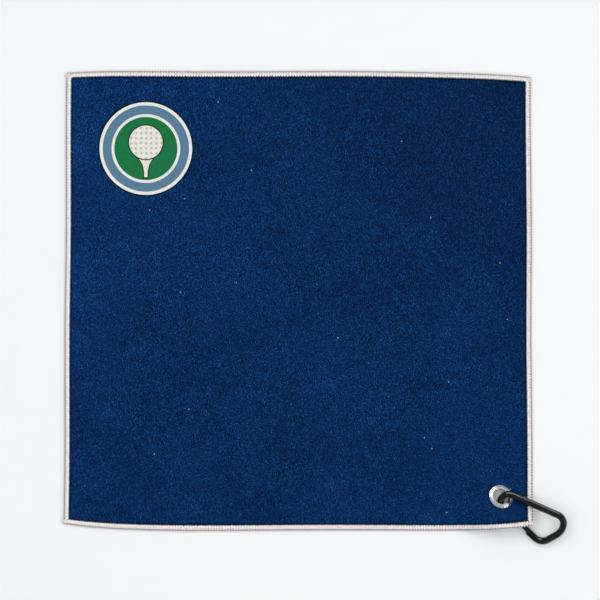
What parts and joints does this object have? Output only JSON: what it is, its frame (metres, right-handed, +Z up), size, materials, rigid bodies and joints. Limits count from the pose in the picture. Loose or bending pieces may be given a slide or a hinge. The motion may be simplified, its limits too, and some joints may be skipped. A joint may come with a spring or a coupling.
{
  "type": "golf towel",
  "caption": "Square microfibre golf towel with an overlocked rim, a corner eyelet and a sprung-gate carabiner, lying flat.",
  "frame": {"origin": "middle of the whole object's box in plan, on the table it lies on", "axes": "+X to the right along the towel's top and bottom edges, +Y up the towel away from the carabiner, +Z up out of the table"},
  "size_m": [0.432, 0.4032, 0.0204],
  "materials": {
    "microfibre": "matte nap",
    "thread": "matte",
    "eyelet_metal": "polished",
    "black_anodised": "satin",
    "steel": "satin"
  },
  "bodies": {
    "towel": {"towel_cloth": "microfibre", "upper_looper_top": "thread", "upper_looper_right": "thread", "upper_looper_bottom": "thread", "upper_looper_left": "thread", "lower_looper_top": "thread", "lower_looper_right": "thread", "lower_looper_bottom": "thread", "lower_looper_left": "thread", "needle_thread_top": "thread", "needle_thread_right": "thread", "needle_thread_bottom": "thread", "needle_thread_left": "thread", "thread_tails": "thread", "eyelet_barrel": "eyelet_metal", "eyelet_washer": "eyelet_metal"},
    "carabiner": {"carabiner_body": "black_anodised"},
    "gate": {"gate": "black_anodised", "pivot_rivet": "steel", "gate_spring": "steel"},
    "plunger": {"spring_plunger": "steel"}
  },
  "joints": [
    {"name": "carabiner_swivel", "type": "hinge", "parent": "towel", "child": "carabiner", "pos_m": [0.15949, -0.16077, 0.0074], "axis": [0.3116, 0.3714, 0.8746], "range_deg": [-30, 0]},
    {"name": "gate_hinge", "type": "hinge", "parent": "carabiner", "child": "gate", "pos_m": [0.16594, -0.17369, 0.0043], "axis": [-0.2895, -0.3521, 0.89], "range_deg": [0, 30], "stiffness_Nm_per_rad": 0.02, "springref_deg": -17.19},
    {"name": "plunger_slide", "type": "slide", "parent": "gate", "child": "plunger", "axis": [0.7341, -0.6784, -0.0296], "range_m": [0, 0.0006], "deforming": ["gate_spring"]}
  ],
  "couplings": [
    {"joint": "plunger_slide", "follows": "gate_hinge", "m_per_rad": 0.00105}
  ]
}
